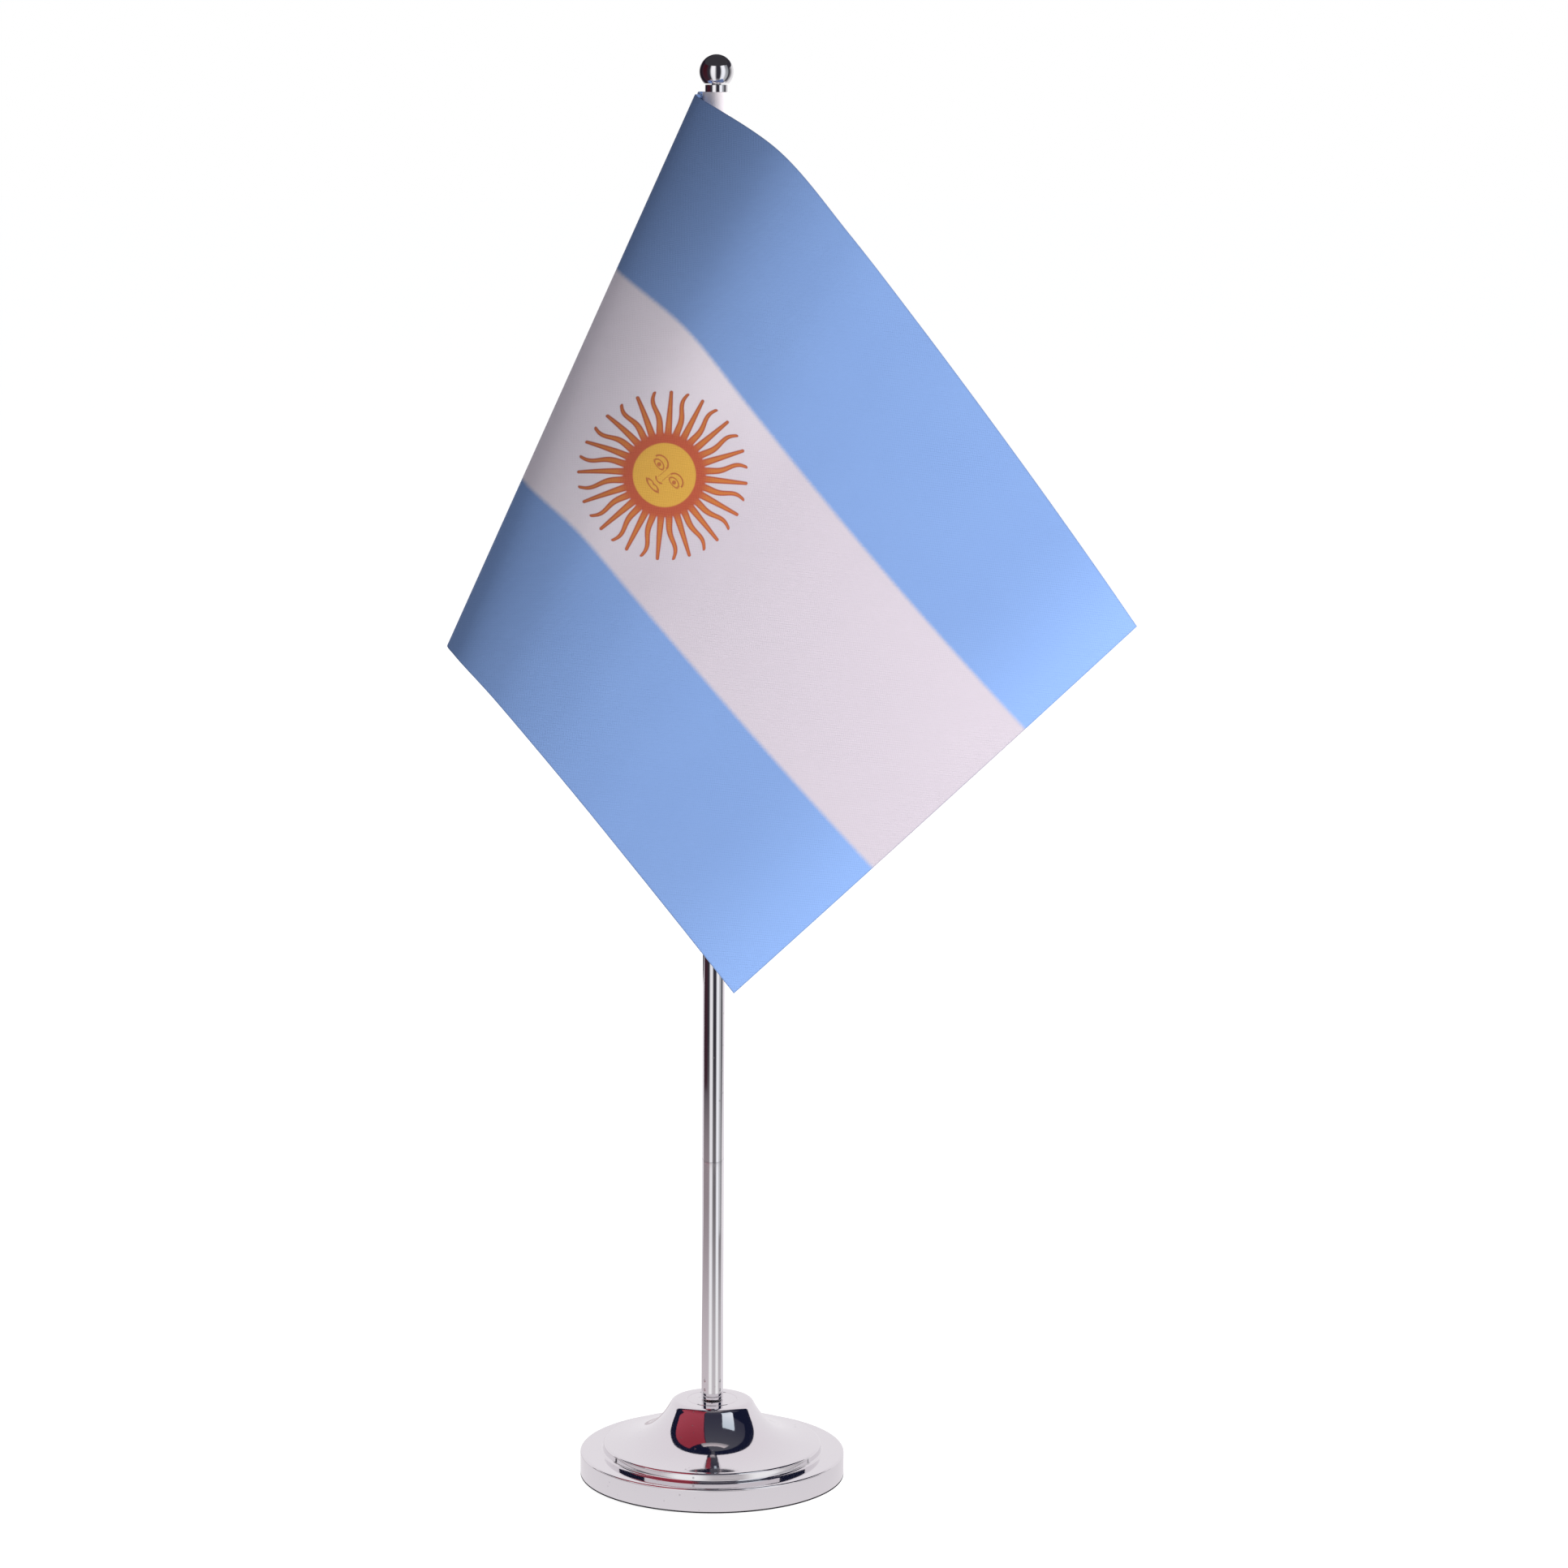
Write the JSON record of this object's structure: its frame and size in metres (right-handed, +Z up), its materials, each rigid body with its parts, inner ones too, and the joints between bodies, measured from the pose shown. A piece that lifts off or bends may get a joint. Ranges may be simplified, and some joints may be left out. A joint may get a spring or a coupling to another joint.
{
  "type": "desk flag stand",
  "caption": "Chromed bell-shaped desk base with an upright tube pole, a screw-on ball finial and a cloth flag on a sleeve.",
  "frame": {"origin": "on the table, under the middle of the base", "axes": "+Z up along the pole, +X to the right as the flag is seen from its front, +Y to the back"},
  "size_m": [0.1842, 0.0888, 0.3889],
  "materials": {
    "chrome": "bright chrome plate, mirror smooth",
    "cast_iron": "raw casting, dark grey",
    "felt": "black pressed felt",
    "zinc_steel": "zinc-plated steel",
    "sleeve_cloth": "white woven polyester",
    "flag_cloth": "printed satin polyester, light blue and white bands"
  },
  "bodies": {
    "stand": {"base_shell": "chrome", "ballast_weight": "cast_iron", "felt_pad": "felt", "pole_screw": "zinc_steel", "spring_washer": "zinc_steel", "plain_washer": "zinc_steel", "foot_insert": "zinc_steel", "pole_tube": "chrome", "top_insert": "zinc_steel"},
    "finial_thread": {"finial_stud": "zinc_steel"},
    "finial": {"finial_ball": "chrome"},
    "sleeve": {"flag_sleeve": "sleeve_cloth"},
    "flag": {"flag_cloth": "flag_cloth"}
  },
  "joints": [
    {"name": "finial_rise", "type": "slide", "parent": "stand", "child": "finial_thread", "axis": [0, 0, 1], "range_m": [0, 0.00701]},
    {"name": "finial_turn", "type": "hinge", "parent": "finial_thread", "child": "finial", "pos_m": [0, 0, 0.385], "axis": [0, 0, 1], "range_deg": [0, 5040]},
    {"name": "sleeve_slide", "type": "slide", "parent": "stand", "child": "sleeve", "axis": [0, 0, 1], "range_m": [-0.1, 0.0015]},
    {"name": "flag_turn", "type": "hinge", "parent": "sleeve", "child": "flag", "pos_m": [0, 0, 0.3], "axis": [0, 0, 1], "continuous": true}
  ],
  "couplings": [
    {"joint": "finial_rise", "follows": "finial_turn", "m_per_rad": 0.000079577}
  ]
}
